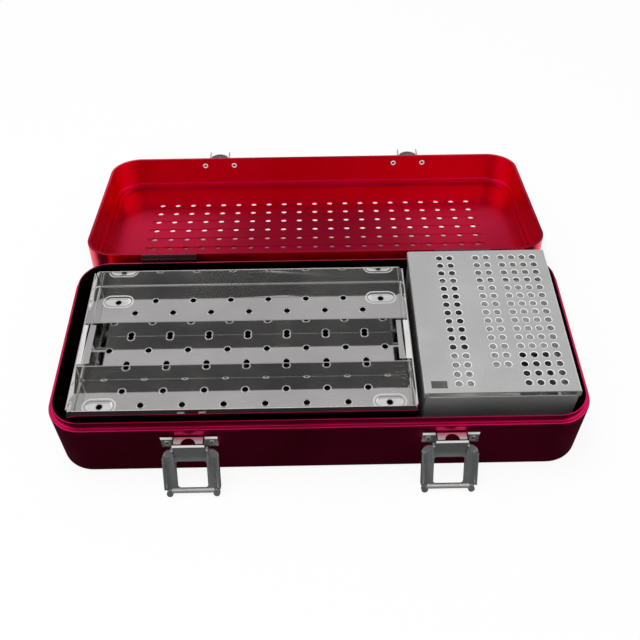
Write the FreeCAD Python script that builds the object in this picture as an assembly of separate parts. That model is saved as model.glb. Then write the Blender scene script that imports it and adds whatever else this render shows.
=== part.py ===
import FreeCAD, Part
import math
import os

from FreeCAD import Vector

# Perforated anodised container for a set of surgical instruments, shown open as it lies on a table.
# X runs along the case, Y from front to back, Z up. The origin is the centre of the base's underside.
# Everything is drawn with the case shut, and the lid and the levers are then turned to where they rest.

# Case
case_length = 480.0
case_depth = 204.0
corner_radius = 32.0
shell_sheet = 1.2
base_height = 66.0
base_edge_radius = 6.0
base_inner_chamfer = 4.0
shoulder_radius = 2.0
lip_inset = 4.0
lip_height = 6.0
lid_depth = 38.0
lid_edge_radius = 8.0
lid_inner_chamfer = 5.5
lid_seat_gap = 0.3
hem_width = 2.6
hem_height = 5.0
hinge_offset = 5.0
hinge_rise = 2.0
table_gap = 0.2

# Perforation of the lid
lid_hole_diameter = 4.6
lid_hole_pitch = 18.2
lid_hole_columns = 21
lid_hole_rows = 7
lid_bead_width = 7.0
lid_bead_depth = 0.5
lid_bead_overhang = 9.0
punch_sides = 6

# Instrument trays
tray_length = 302.0
tray_depth = 168.0
tray_sheet = 1.0
tray_fold_radius = 2.5
tray_wall = 21.0
tray_end_gap = 22.5
tray_ahead_of_centre = 9.2
tray_slit = 1.2
tray_corner_radius = 6.0
tray_hole_diameter = 5.6
tray_column_pitch = 36.9
tray_row_pitch = 15.75
tray_side_rows = 4
tray_holes_forward = 1.0
tray_columns_each_side = 3
grip_width = 12.0
grip_gap = 3.0
foot_length = 27.0
foot_width = 13.0
foot_depth = 2.0
lower_tray_inset = 5.0
lower_tray_height = 60.7
drain_rows = 5
drain_columns = 3
drain_row_pitch = 31.5
drain_column_pitch = 92.0
drain_length = 80.0
drain_width = 6.0
floor_gap = 0.3
divider_foot = 8.0
front_divider_y = -43.5
rear_divider_y = 8.0
divider_end_gap = 0.4

# Screw rack
rack_length = 132.5
rack_depth = 174.0
rack_end_gap = 15.95
rack_centre_y = 3.0
rack_sheet = 1.0
rack_cover_top = 89.0
rack_cover_sheet = 1.2
rack_cover_lip = 6.0
rack_cover_clearance = 0.3
rack_fold_radius = 2.0
rack_front_drop = 5.0
rack_hole_diameter = 7.2
rack_hole_pitch = 10.3
rack_rows = 16
rack_pair_gap = 25.5
rack_group_gap = 14.5
rack_right_margin = 12.0
rack_short_pair_missing_rows = 2
rack_notch_length = 14.0
rack_notch_width = 8.0
rack_notch_inset = 5.0
rack_plate_height = 46.0
rack_plate_clearance = 0.4
rack_front_post = 3.0

# Latches
latch_spacing = 229.0
latch_width = 50.0
latch_channel_width = 28.0
latch_channel_depth = 9.7
latch_sheet = 1.2
latch_bracket_bottom = 38.0
latch_bracket_top = 57.0
latch_flange_rise = 4.0
latch_tongue_radius = 6.5
latch_pin_height = 45.0
latch_pin_offset = 7.0
latch_pin_diameter = 3.0
latch_pin_clearance = 0.05
lever_length = 48.3
lever_sheet = 1.6
lever_face_offset = 3.5
lever_start = 1.5
lever_side_gap = 0.5
lever_cross_start = 8.5
lever_window_start = 13.0
lever_window_width = 27.0
lever_window_radius = 2.5
lever_window_end = 8.0
lever_web_overlap = 6.0
lever_flange_end = 9.0
lever_flange = 5.0
lever_eye_radius = 3.2
lever_corner_radius = 7.0
lever_knob_diameter = 6.0
lever_knob_inset = 4.0
lever_knob_overhang = 0.4
lever_knob_height = 3.6
lever_table_gap = 0.3

# Catches on the lid
catch_width = 52.0
catch_height = 17.0
catch_rise = 0.5
catch_sheet = 1.2
horn_spacing = 22.6
horn_reach = 17.0
horn_height = 13.0
horn_rise = 0.5
arch_reach = 11.5

# Hinges
hinge_inset = 90.0
hinge_leaf_width = 56.0
hinge_leaf_height = 26.0
hinge_sheet = 1.2
hinge_knuckles = 3
hinge_knuckle_gap = 0.4
hinge_pin_diameter = 3.0
hinge_pin_clearance = 0.05


# Sizes that follow from the ones above
X_AXIS = Vector(1, 0, 0)
Y_AXIS = Vector(0, 1, 0)
Z_AXIS = Vector(0, 0, 1)
front_y = -case_depth / 2
rear_y = case_depth / 2
rim_z = base_height + lid_seat_gap
lid_top_z = rim_z + lid_depth
hinge_y = rear_y + hinge_offset
hinge_z = rim_z + hinge_rise
hinge_radius = hinge_offset - lid_seat_gap
tray_x = -case_length / 2 + tray_end_gap + tray_length / 2
tray_y = -tray_ahead_of_centre
lower_tray_z = shell_sheet + floor_gap
tray_z = lower_tray_z + lower_tray_height + floor_gap
tray_top_z = tray_z + tray_wall
rack_z = shell_sheet + floor_gap
rack_right = case_length / 2 - rack_end_gap
rack_left = rack_right - rack_length
rack_front = rack_centre_y - rack_depth / 2
rack_rear = rack_centre_y + rack_depth / 2
rack_wall_top = rack_cover_top - rack_cover_sheet - rack_cover_clearance
latch_pin_y = front_y - latch_pin_offset
latch_xs = (-latch_spacing / 2, latch_spacing / 2)
hinge_xs = (hinge_inset - case_length / 2, case_length / 2 - hinge_inset)


def opened_lid_angle():
    """Degrees that the lid turns from shut until its far edge meets the table."""
    reach = case_depth + hinge_offset - lid_edge_radius
    rise = lid_top_z - hinge_z - lid_edge_radius
    drop = hinge_z - lid_edge_radius - table_gap
    turn = math.asin(drop / math.hypot(reach, rise)) - math.atan2(rise, reach)
    return 180 + math.degrees(turn)


def hanging_lever_angle():
    """Degrees that a lever turns from shut until its knobs meet the table."""
    arm = lever_length - lever_knob_diameter / 2
    fall = latch_pin_height - lever_knob_diameter / 2 - lever_table_gap
    offset = lever_face_offset + lever_sheet / 2
    lean = math.atan2(offset, arm) + math.acos(fall / math.hypot(arm, offset))
    return 180 - math.degrees(lean)


def box(low, high):
    """A box between two corners."""
    size = [b - a for a, b in zip(low, high)]
    return Part.makeBox(*size, Vector(*low))


def rounded_outline(length, depth, radius, z):
    """A rectangle with round corners about the Z axis."""
    x, y = length / 2, depth / 2
    corners = ((x, y, 0), (-x, y, 90), (-x, -y, 180), (x, -y, 270))
    ends = []
    arcs = []
    for cx, cy, start in corners:
        centre = Vector(cx - math.copysign(radius, cx), cy - math.copysign(radius, cy), z)
        circle = Part.Circle(centre, Z_AXIS, radius)
        arc = Part.Arc(circle, math.radians(start), math.radians(start + 90))
        arcs.append(arc.toShape())
        ends.append((arc.StartPoint, arc.EndPoint))
    edges = []
    for k, arc in enumerate(arcs):
        edges.append(arc)
        edges.append(Part.LineSegment(ends[k][1], ends[(k + 1) % 4][0]).toShape())
    return Part.Wire(edges)


def rounded_block(length, depth, radius, z0, z1):
    """A block with round vertical corners."""
    return Part.Face(rounded_outline(length, depth, radius, z0)).extrude(Vector(0, 0, z1 - z0))


def case_block(inset, z0, z1):
    """A block with the case's own outline, drawn in by inset all round."""
    return rounded_block(case_length - 2 * inset, case_depth - 2 * inset, corner_radius - inset, z0, z1)


def edges_at(shape, z):
    """The edges that lie in one level plane."""
    level = []
    for edge in shape.Edges:
        span = edge.BoundBox
        if max(abs(span.ZMin - z), abs(span.ZMax - z)) < 1e-6:
            level.append(edge)
    return level


def join(shapes):
    """One solid from solids that touch or overlap."""
    first, rest = shapes[0], shapes[1:]
    return first.fuse(rest).removeSplitter() if rest else first


def cylinder(start, axis, diameter, length):
    """A round bar from start along axis."""
    return Part.makeCylinder(diameter / 2, length, start, axis)


def prism_holes(centres, diameter, z0, z1):
    """Punches with a few flat sides, as wide across as the round hole that they stand for."""
    punches = []
    for x, y in centres:
        turn = [2 * math.pi * (k + 0.5) / punch_sides for k in range(punch_sides)]
        corners = [Vector(x + diameter / 2 * math.cos(a), y + diameter / 2 * math.sin(a), z0) for a in turn]
        face = Part.Face(Part.makePolygon(corners + corners[:1]))
        punches.append(face.extrude(Vector(0, 0, z1 - z0)))
    return Part.makeCompound(punches)


def opened(shape):
    """The shape as it lies with the lid thrown back."""
    turned = shape.copy()
    turned.rotate(Vector(0, hinge_y, hinge_z), X_AXIS, -opened_lid_angle())
    return turned


def hanging(shape):
    """The shape as it hangs with its lever let go."""
    turned = shape.copy()
    turned.rotate(Vector(0, latch_pin_y, latch_pin_height), X_AXIS, hanging_lever_angle())
    return turned


# Case shells


def base_shell():
    """The drawn lower shell, with a shoulder for the lid and a lip that stands inside it."""
    t = shell_sheet
    body = case_block(0, 0, base_height)
    body = body.makeFillet(base_edge_radius, edges_at(body, 0))
    body = body.makeFillet(shoulder_radius, edges_at(body, base_height))
    lip_top = base_height + lip_height
    lip = case_block(lip_inset, base_height / 2, lip_top)
    hollow = case_block(t, t, base_height - t)
    hollow = hollow.makeChamfer(base_inner_chamfer, edges_at(hollow, t))
    mouth = case_block(lip_inset + t, base_height / 2, lip_top + 1)
    return body.fuse(lip).cut(hollow.fuse(mouth)).removeSplitter()


def lid_hole_centres():
    """The square pattern of holes, centred on the lid."""
    xs = [(k - (lid_hole_columns - 1) / 2) * lid_hole_pitch for k in range(lid_hole_columns)]
    ys = [(k - (lid_hole_rows - 1) / 2) * lid_hole_pitch for k in range(lid_hole_rows)]
    return xs, ys


def lid_shell():
    """The drawn lid: a hem round its rim, and a shallow pressed bead along each row of holes."""
    t = shell_sheet
    body = case_block(0, rim_z, lid_top_z)
    body = body.makeFillet(lid_edge_radius, edges_at(body, lid_top_z))
    xs, ys = lid_hole_centres()
    half = xs[-1] + lid_bead_overhang
    w = lid_bead_width / 2
    for y in ys:
        bead = box((-half, y - w, lid_top_z - t), (half, y + w, lid_top_z + lid_bead_depth))
        body = body.fuse(bead)
    hollow = case_block(t, rim_z - 1, lid_top_z - t)
    hollow = hollow.makeChamfer(lid_inner_chamfer, edges_at(hollow, lid_top_z - t))
    hem = case_block(0, rim_z, rim_z + hem_height)
    mouth = case_block(hem_width, rim_z - 1, lid_top_z - 2 * t)
    tools = [mouth, hollow.cut(hem)]
    bead_top = lid_top_z + lid_bead_depth
    for y in ys:
        tools.append(box((-half + t, y - w + t, lid_top_z - 2 * t), (half - t, y + w - t, bead_top - t)))
    shell = body
    for tool in tools:
        shell = shell.cut(tool)
    centres = [(x, y) for x in xs for y in ys]
    punches = prism_holes(centres, lid_hole_diameter, lid_top_z - 2 * t, lid_top_z + 2 * t)
    return opened(shell.cut(punches))


# Hinges


def hinge_leaf(x, side):
    """One leaf of a butt hinge on the rear wall: side -1 goes down the base, side +1 up the lid."""
    t = hinge_sheet
    step = hinge_leaf_width / hinge_knuckles
    z0, z1 = sorted((hinge_z, hinge_z + side * hinge_leaf_height))
    left, right = x - hinge_leaf_width / 2, x + hinge_leaf_width / 2
    leaf = box((left, rear_y, z0), (right, rear_y + t, z1))
    start = 0 if side < 0 else 1
    pieces = [leaf]
    gaps = []
    for k in range(hinge_knuckles):
        a = left + k * step + (hinge_knuckle_gap / 2 if k else 0)
        b = left + (k + 1) * step - (hinge_knuckle_gap / 2 if k < hinge_knuckles - 1 else 0)
        if k % 2 == start:
            pieces.append(cylinder(Vector(a, hinge_y, hinge_z), X_AXIS, 2 * hinge_radius, b - a))
        else:
            a0 = left + k * step - hinge_knuckle_gap / 2
            b0 = left + (k + 1) * step + hinge_knuckle_gap / 2
            r = hinge_radius + lid_seat_gap
            gaps.append(box((a0, rear_y - 1, hinge_z - r), (b0, rear_y + 2 * hinge_offset, hinge_z + r)))
    solid = join(pieces)
    for gap in gaps:
        solid = solid.cut(gap)
    bore = hinge_pin_diameter + 2 * hinge_pin_clearance
    return solid.cut(cylinder(Vector(left - 1, hinge_y, hinge_z), X_AXIS, bore, hinge_leaf_width + 2))


def hinge_pin(x):
    """The plain pin of one hinge, as long as its leaves."""
    start = Vector(x - hinge_leaf_width / 2, hinge_y, hinge_z)
    return cylinder(start, X_AXIS, hinge_pin_diameter, hinge_leaf_width)


# Latches


def latch_bracket(x):
    """The hat-shaped bracket on the front wall: two flanges, a channel and a half-round tongue over it."""
    t = latch_sheet
    z0, z1 = latch_bracket_bottom, latch_bracket_top
    w, c = latch_width / 2, latch_channel_width / 2
    face_y = front_y - latch_channel_depth
    flange = box((-w, front_y - t, z0 + latch_flange_rise), (w, front_y, z1))
    middle = box((-c + t, front_y - t - 1, z0 - 1), (c - t, front_y + 1, z1 + 1))
    side_l = box((-c, face_y, z0), (-c + t, front_y, z1))
    side_r = box((c - t, face_y, z0), (c, front_y, z1))
    face = box((-c, face_y, z0), (c, face_y + t, z1))
    tongue = cylinder(Vector(0, face_y + t / 2, z1 - t), Z_AXIS, 2 * latch_tongue_radius, t)
    tongue = tongue.cut(box((-w, face_y - w, z0), (w, face_y, z1 + 1)))
    bracket = join([flange.cut(middle), side_l, side_r, face, tongue])
    bore = latch_pin_diameter
    bracket = bracket.cut(cylinder(Vector(-w, latch_pin_y, latch_pin_height), X_AXIS, bore, 2 * w))
    bracket.translate(Vector(x, 0, 0))
    return bracket


def latch_pin(x):
    """The plain pivot of one lever, pressed into the channel, as long as the lever is wide there."""
    half = latch_channel_width / 2 + lever_side_gap + lever_sheet
    return cylinder(Vector(x - half, latch_pin_y, latch_pin_height), X_AXIS, latch_pin_diameter, 2 * half)


def latch_lever(x):
    """The sprung frame of a latch: two arms, a cross plate by the pin and a bar with a knob at each end."""
    t = lever_sheet
    w = latch_width / 2
    inner = latch_channel_width / 2 + lever_side_gap
    y1 = latch_pin_y - lever_face_offset
    y0 = y1 - t
    z_pin = latch_pin_height
    end = z_pin + lever_length
    plate = box((-w, y0, z_pin + lever_start), (w, y1, end - lever_knob_diameter / 2))
    across = [e for e in plate.Edges if abs(e.BoundBox.YLength - t) < 1e-6]
    plate = plate.makeFillet(lever_corner_radius, across)
    window = box(
        (-lever_window_width / 2, y0 - 1, z_pin + lever_window_start),
        (lever_window_width / 2, y1 + 1, end - lever_window_end),
    )
    upright = [e for e in window.Edges if abs(e.BoundBox.YLength - t - 2) < 1e-6]
    window = window.makeFillet(lever_window_radius, upright)
    relief = box((-inner, y0 - 1, z_pin), (inner, y1 + 1, z_pin + lever_cross_start))
    frame = plate.cut([window, relief])
    flanges = []
    for side in (-1, 1):
        a, b = sorted((side * w, side * (w - t)))
        foot_z = z_pin + lever_corner_radius
        flanges.append(box((a, y1, foot_z), (b, y1 + lever_flange, end - lever_flange_end)))
        a, b = sorted((side * inner, side * (inner + t)))
        web_end = z_pin + lever_window_start + lever_web_overlap
        web = box((a, y1, z_pin), (b, y1 + lever_flange, web_end))
        eye = cylinder(Vector(a, latch_pin_y, z_pin), X_AXIS, 2 * lever_eye_radius, t)
        neck = box((a, y1 - t, z_pin), (b, latch_pin_y, z_pin + lever_eye_radius))
        flanges += [web, eye, neck]
        at = Vector(side * (w - lever_knob_inset), y0 - lever_knob_overhang, end - lever_knob_diameter / 2)
        flanges.append(cylinder(at, Y_AXIS, lever_knob_diameter, lever_knob_height))
    lever = join([frame] + flanges)
    bore = latch_pin_diameter + 2 * latch_pin_clearance
    lever = lever.cut(cylinder(Vector(-w, latch_pin_y, z_pin), X_AXIS, bore, 2 * w))
    lever.translate(Vector(x, 0, 0))
    return hanging(lever)


def lid_catch(x):
    """The catch on the lid that the lever's window closes over: a plate, two horns and an arch."""
    t = catch_sheet
    z0 = rim_z + catch_rise
    z1 = z0 + catch_height
    plate = box((-catch_width / 2, front_y - t, z0), (catch_width / 2, front_y, z1))
    low = z0 + horn_rise
    horns = []
    for side in (-1, 1):
        a = side * horn_spacing / 2
        high = (a + t / 2, front_y - t / 2, low + horn_height)
        horns.append(box((a - t / 2, front_y - horn_reach, low), high))
    span = (horn_spacing - t) / 2
    sag = arch_reach - t
    radius = (span * span + sag * sag) / (2 * sag)
    centre = Vector(0, front_y - t - sag + radius, low)
    arch = Part.makeCylinder(radius, horn_height, centre, Z_AXIS)
    arch = arch.cut(Part.makeCylinder(radius - t, horn_height, centre, Z_AXIS))
    low_end = (-span - t / 2, front_y - arch_reach - t, low)
    arch = arch.common(box(low_end, (span + t / 2, front_y - t / 2, low + horn_height)))
    catch = join([plate, arch] + horns)
    catch.translate(Vector(x, 0, 0))
    return opened(catch)


# Trays


def tray_hole_centres():
    """Staggered rows of holes on a tray's floor, and the four outermost ones that lie in its feet."""
    holes, feet = [], []
    for j in range(-tray_side_rows, tray_side_rows + 1):
        shifted = j % 2 == 0
        n = tray_columns_each_side + (1 if shifted else 0)
        columns = [(k + 0.5) for k in range(-n, n)] if shifted else list(range(-n, n + 1))
        for c in columns:
            place = (tray_x + c * tray_column_pitch, tray_y - tray_holes_forward + j * tray_row_pitch)
            outermost = abs(j) == tray_side_rows and abs(c) == max(columns)
            (feet if outermost else holes).append(place)
    return holes, feet


def obround(x, y, length, width, z0, z1):
    """A block with two round ends, its length along X."""
    straight = (length - width) / 2
    middle = box((x - straight, y - width / 2, z0), (x + straight, y + width / 2, z1))
    ends = [cylinder(Vector(x + s * straight, y, z0), Z_AXIS, width, z1 - z0) for s in (-1, 1)]
    return join([middle] + ends)


def drain_slots(z0, z1):
    """Straight slots in rows, for the floor of the lower tray."""
    slots = []
    for j in range(drain_rows):
        y = tray_y + (j - (drain_rows - 1) / 2) * drain_row_pitch
        for k in range(drain_columns):
            x = tray_x + (k - (drain_columns - 1) / 2) * drain_column_pitch
            low = (x - drain_length / 2, y - drain_width / 2, z0)
            slots.append(box(low, (x + drain_length / 2, y + drain_width / 2, z1)))
    return Part.makeCompound(slots)


def folded_tray(floor_z, height, inset):
    """A tray folded from sheet, with slit corners and a grip turned in at the middle of each end."""
    t = tray_sheet
    half_length, half_depth = tray_length / 2 - inset, tray_depth / 2 - inset
    x0, x1 = tray_x - half_length, tray_x + half_length
    y0, y1 = tray_y - half_depth, tray_y + half_depth
    top = floor_z + height
    block = box((x0, y0, floor_z), (x1, y1, top))
    block = block.makeFillet(tray_fold_radius, edges_at(block, floor_z))
    hollow = box((x0 + t, y0 + t, floor_z + t), (x1 - t, y1 - t, top + 1))
    hollow = hollow.makeFillet(tray_fold_radius - t, edges_at(hollow, floor_z + t))
    tray = block.cut(hollow)
    cuts = []
    rounds = tray_corner_radius
    for sx, ex in ((-1, x0), (1, x1)):
        for sy, ey in ((-1, y0), (1, y1)):
            a, b = sorted((ey - sy * t, ey - sy * (t + tray_slit)))
            c, d = sorted((ex + sx, ex - sx * tray_fold_radius))
            cuts.append(box((c, a, floor_z + tray_fold_radius), (d, b, top + 1)))
            c, d = sorted((ex, ex - sx * rounds))
            corner = box((c, ey - 2 * t, top - rounds), (d, ey + 2 * t, top + 1))
            pivot = Vector(ex - sx * rounds, ey - 3 * t, top - rounds)
            cuts.append(corner.cut(cylinder(pivot, Y_AXIS, 2 * rounds, 6 * t)))
    grips = []
    g0, g1 = front_divider_y + grip_gap, rear_divider_y - grip_gap
    for sx, ex in ((-1, x0), (1, x1)):
        a, b = sorted((ex, ex - sx * grip_width))
        grips.append(box((a, g0, top - t), (b, g1, top)))
    return join([tray.cut(cuts)] + grips)


def lower_tray():
    """The deep tray below. The instrument tray stands on its walls, with the feet just inside them."""
    tray = folded_tray(lower_tray_z, lower_tray_height, lower_tray_inset)
    return tray.cut(drain_slots(lower_tray_z - 1, lower_tray_z + tray_sheet + 1))


def instrument_tray():
    """The tray on top, with its floor perforated and a foot pressed down at each corner."""
    t = tray_sheet
    tray = folded_tray(tray_z, tray_wall, 0)
    holes, feet = tray_hole_centres()
    sole = tray_z - foot_depth
    inner = (foot_length - 2 * t, foot_width - 2 * t)
    pads = [obround(x, y, foot_length, foot_width, sole, tray_z + t / 2) for x, y in feet]
    wells = [obround(x, y, *inner, sole + t, tray_z + t + 1) for x, y in feet]
    tray = join([tray] + pads).cut(wells)
    return tray.cut(prism_holes(holes + feet, tray_hole_diameter, sole - 1, tray_z + t + 1))


def divider(y):
    """An angle strip that parts the tray lengthwise. Its foot lies on the tray's floor, behind the wall."""
    t = tray_sheet
    z0 = tray_z + t
    x0 = tray_x - tray_length / 2 + t + divider_end_gap
    x1 = tray_x + tray_length / 2 - t - divider_end_gap
    wall = box((x0, y - t / 2, z0 + tray_fold_radius), (x1, y + t / 2, tray_top_z))
    r = tray_fold_radius
    foot = box((x0 + r, y - t / 2, z0), (x1 - r, y + t / 2 + divider_foot, z0 + t))
    heel = box((x0 + r, y - t / 2, z0), (x1 - r, y + t / 2, z0 + 2 * r))
    return join([wall, foot, heel])


# Screw rack


def rack_columns():
    """The places of the eight columns of holes, from left to right."""
    x = rack_right - rack_right_margin
    steps = (0, 1, 1, 1, rack_group_gap / rack_hole_pitch, 1, rack_pair_gap / rack_hole_pitch, 1)
    places = []
    for step in steps:
        x -= step * rack_hole_pitch
        places.append(x)
    return places[::-1]


def rack_hole_centres():
    """All holes of the rack: the middle pair of columns is shorter at the front."""
    rows = [rack_centre_y + (k - (rack_rows - 1) / 2) * rack_hole_pitch for k in range(rack_rows)]
    columns = rack_columns()
    places = []
    for k, x in enumerate(columns):
        first = rack_short_pair_missing_rows if k in (2, 3) else 0
        places += [(x, y) for y in rows[first:]]
    return places


def rack_body():
    """The open box of the rack. Its front wall stops short, to leave a slot under the cover."""
    t = rack_sheet
    block = box((rack_left, rack_front, rack_z), (rack_right, rack_rear, rack_wall_top))
    block = block.makeFillet(rack_fold_radius, edges_at(block, rack_z))
    inside = (rack_right - t, rack_rear - t, rack_wall_top + 1)
    hollow = box((rack_left + t, rack_front + t, rack_z + t), inside)
    slot_z = rack_wall_top - rack_front_drop
    left, right = rack_left + rack_front_post, rack_right - rack_front_post
    slot = box((left, rack_front - 1, slot_z), (right, rack_front + 2 * t, rack_wall_top + 1))
    return block.cut([hollow, slot])


def rack_cover():
    """The sliding cover, turned down along both sides, with a finger notch at its front left corner."""
    t = rack_cover_sheet
    gap = rack_cover_clearance
    x0, x1 = rack_left - gap - t, rack_right + gap + t
    z0 = rack_cover_top - t
    sheet = box((x0, rack_front, z0 - rack_cover_lip), (x1, rack_rear, rack_cover_top))
    long_edges = [e for e in edges_at(sheet, rack_cover_top) if e.BoundBox.YLength > rack_depth / 2]
    sheet = sheet.makeFillet(rack_fold_radius, long_edges)
    under = box((x0 + t, rack_front - 1, z0 - rack_cover_lip - 1), (x1 - t, rack_rear + 1, z0))
    notch_x = rack_left + rack_notch_inset
    notch_y = rack_front + rack_notch_inset
    notch_end = (notch_x + rack_notch_length, notch_y + rack_notch_width, rack_cover_top + 1)
    cover = sheet.cut([under, box((notch_x, notch_y, z0 - 1), notch_end)])
    return cover.cut(prism_holes(rack_hole_centres(), rack_hole_diameter, z0 - 1, rack_cover_top + 1))


def rack_screw_plate():
    """The inner plate that holds the screws' tips: a bridge with a leg down to the floor at each side."""
    t = rack_sheet
    gap = rack_plate_clearance
    x0, x1 = rack_left + t + gap, rack_right - t - gap
    y0, y1 = rack_front + t + gap, rack_rear - t - gap
    z0 = rack_z + t
    z1 = z0 + rack_plate_height
    bridge = box((x0, y0, z0), (x1, y1, z1))
    long_edges = [e for e in edges_at(bridge, z1) if e.BoundBox.YLength > rack_depth / 2]
    bridge = bridge.makeFillet(rack_fold_radius, long_edges)
    under = box((x0 + t, y0 - 1, z0 - 1), (x1 - t, y1 + 1, z1 - t))
    return bridge.cut(under)


# Writing the pieces


def build():
    """Every node of the container, by name."""
    names = ("left", "right")
    nodes = {"base_shell": base_shell(), "lid_shell": lid_shell()}
    for name, x in zip(names, hinge_xs):
        nodes[f"{name}_hinge_base_leaf"] = hinge_leaf(x, -1)
        nodes[f"{name}_hinge_lid_leaf"] = opened(hinge_leaf(x, 1))
        nodes[f"{name}_hinge_pin"] = hinge_pin(x)
    for name, x in zip(names, latch_xs):
        nodes[f"{name}_latch_bracket"] = latch_bracket(x)
        nodes[f"{name}_latch_pin"] = latch_pin(x)
        nodes[f"{name}_latch_lever"] = latch_lever(x)
        nodes[f"{name}_lid_catch"] = lid_catch(x)
    nodes["lower_tray"] = lower_tray()
    nodes["instrument_tray"] = instrument_tray()
    nodes["front_divider"] = divider(front_divider_y)
    nodes["rear_divider"] = divider(rear_divider_y)
    nodes["rack_body"] = rack_body()
    nodes["rack_screw_plate"] = rack_screw_plate()
    nodes["rack_cover"] = rack_cover()
    return nodes


os.makedirs("parts", exist_ok=True)
print("lid opened", round(opened_lid_angle(), 3), "lever hanging", round(hanging_lever_angle(), 3))
for node, shape in build().items():
    shape.exportStep(f"parts/{node}.step")
    facets = len(shape.tessellate(0.1)[1])
    volume = round(shape.Volume)
    print(node, len(shape.Solids), "valid", shape.isValid(), "volume", volume, "facets", facets)
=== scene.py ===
# %% [markdown]
# # A red anodised instrument case, dressed for a picture
# The case is already drawn to size as CAD solids. This notebook keeps every solid where it is, gives each
# sheet its round holes, soft edges, rivets and finish, and sets up the studio: floor, cards, lamps, camera.
# Each code cell does one small job and prints what it made, so that it can be run and read on its own.

# %% Loading the frame that fixes every size
import math

import bmesh
import bpy
from mathutils import Matrix, Vector


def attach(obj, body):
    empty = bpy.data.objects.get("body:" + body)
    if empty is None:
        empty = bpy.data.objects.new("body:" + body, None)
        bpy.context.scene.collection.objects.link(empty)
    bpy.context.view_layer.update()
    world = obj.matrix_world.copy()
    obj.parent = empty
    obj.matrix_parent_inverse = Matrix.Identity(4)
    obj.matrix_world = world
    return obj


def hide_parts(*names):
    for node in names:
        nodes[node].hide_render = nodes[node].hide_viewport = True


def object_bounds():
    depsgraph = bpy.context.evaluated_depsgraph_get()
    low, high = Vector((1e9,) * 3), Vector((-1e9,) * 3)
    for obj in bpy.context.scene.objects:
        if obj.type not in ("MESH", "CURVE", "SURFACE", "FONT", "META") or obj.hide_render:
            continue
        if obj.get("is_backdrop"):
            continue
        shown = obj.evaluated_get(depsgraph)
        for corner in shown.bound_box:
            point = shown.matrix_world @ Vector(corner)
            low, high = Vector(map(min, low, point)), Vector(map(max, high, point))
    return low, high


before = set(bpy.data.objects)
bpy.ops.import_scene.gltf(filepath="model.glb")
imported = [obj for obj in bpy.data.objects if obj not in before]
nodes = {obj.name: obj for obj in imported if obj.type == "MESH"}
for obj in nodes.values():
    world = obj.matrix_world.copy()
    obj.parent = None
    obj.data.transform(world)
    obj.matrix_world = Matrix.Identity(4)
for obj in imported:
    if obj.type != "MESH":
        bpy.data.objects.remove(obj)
cad_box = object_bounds()
scene = bpy.context.scene
MM = 0.001

# %% [markdown]
# ## Where things are
# Blender works in metres and the sheet-metal drawing in millimetres, so lengths are written in millimetres
# and turned once. The lid is drawn shut and then thrown back about its hinge line, and each lever hangs from
# its pin. One matrix for each turn carries anything drawn on the shut case to where it lies now.

# %% The lid's turn, and the places along the case
HINGE_LINE = Vector((0, 107.0, 68.3)) * MM
LID_TURN = math.radians(189.296)
PIN_LINE = Vector((0, -109.0, 45.0)) * MM
LEVER_TURN = math.radians(150.984)
LATCH_XS = (-114.5, 114.5)
HINGE_XS = (-150.0, 150.0)
SIDES = ("left", "right")


def turn_about(line, angle):
    """The turn about an axis that runs along X through a point."""
    return Matrix.Translation(line) @ Matrix.Rotation(angle, 4, "X") @ Matrix.Translation(-line)


OPENED = turn_about(HINGE_LINE, -LID_TURN)
HANGING = turn_about(PIN_LINE, LEVER_TURN)
print("lid lies", round(math.degrees(LID_TURN) - 180, 2), "degrees past level")

# %% [markdown]
# ## Turning loose triangles into a sheet
# A CAD solid arrives as loose triangles, so Blender can't tell which faces are neighbours. A copy is merged
# first. Its curved faces are then shaded smooth up to a limit angle, and the normals are weighted by face
# area, so that a flat wall stays flat in its reflections while a narrow chamfer beside it shades as a round.
# That is cheaper than modelling every fold finely, and the outline stays the drawing's own.

# %% Helpers for copies of the solids
SMOOTH_LIMIT = math.radians(50)
FLAT_LIMIT = math.radians(0.4)
WELD = 2e-6


def merged(node):
    """A bmesh of one CAD solid, with its triangles joined up."""
    bm = bmesh.new()
    bm.from_mesh(nodes[node].data)
    bmesh.ops.remove_doubles(bm, verts=bm.verts, dist=WELD)
    return bm


def flat_faces_joined(bm):
    """Coplanar triangles become single faces, which a bevel can follow cleanly."""
    bmesh.ops.dissolve_limit(bm, angle_limit=FLAT_LIMIT, verts=bm.verts, edges=bm.edges)
    return bm


def to_mesh(bm, name):
    """The bmesh as a mesh that is smooth below the limit angle."""
    mesh = bpy.data.meshes.new(name)
    bm.to_mesh(mesh)
    bm.free()
    mesh.polygons.foreach_set("use_smooth", [True] * len(mesh.polygons))
    mesh.set_sharp_from_angle(angle=SMOOTH_LIMIT)
    return mesh


def linked(name, mesh):
    """A new object at the world's origin, in the scene."""
    obj = bpy.data.objects.new(name, mesh)
    scene.collection.objects.link(obj)
    return obj


def made_plain(obj):
    """The object's modifiers are worked into a plain mesh and taken off."""
    bpy.context.view_layer.update()
    result = obj.evaluated_get(bpy.context.evaluated_depsgraph_get())
    mesh = bpy.data.meshes.new_from_object(result)
    old = obj.data
    obj.modifiers.clear()
    obj.data = mesh
    mesh.name = obj.name
    bpy.data.meshes.remove(old)
    return obj


def evenly_shaded(obj):
    """Normals weighted by face area, worked into the mesh."""
    shading = obj.modifiers.new("weighted", "WEIGHTED_NORMAL")
    shading.keep_sharp = True
    shading.weight = 70
    return made_plain(obj)


def settled(obj, body, replaced=()):
    """The piece rides on its body and stands for the solids named."""
    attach(obj, body)
    if replaced:
        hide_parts(*replaced)
    faces = len(obj.data.polygons)
    print(obj.name, "rides on", body, "faces", faces)
    return obj


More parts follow.
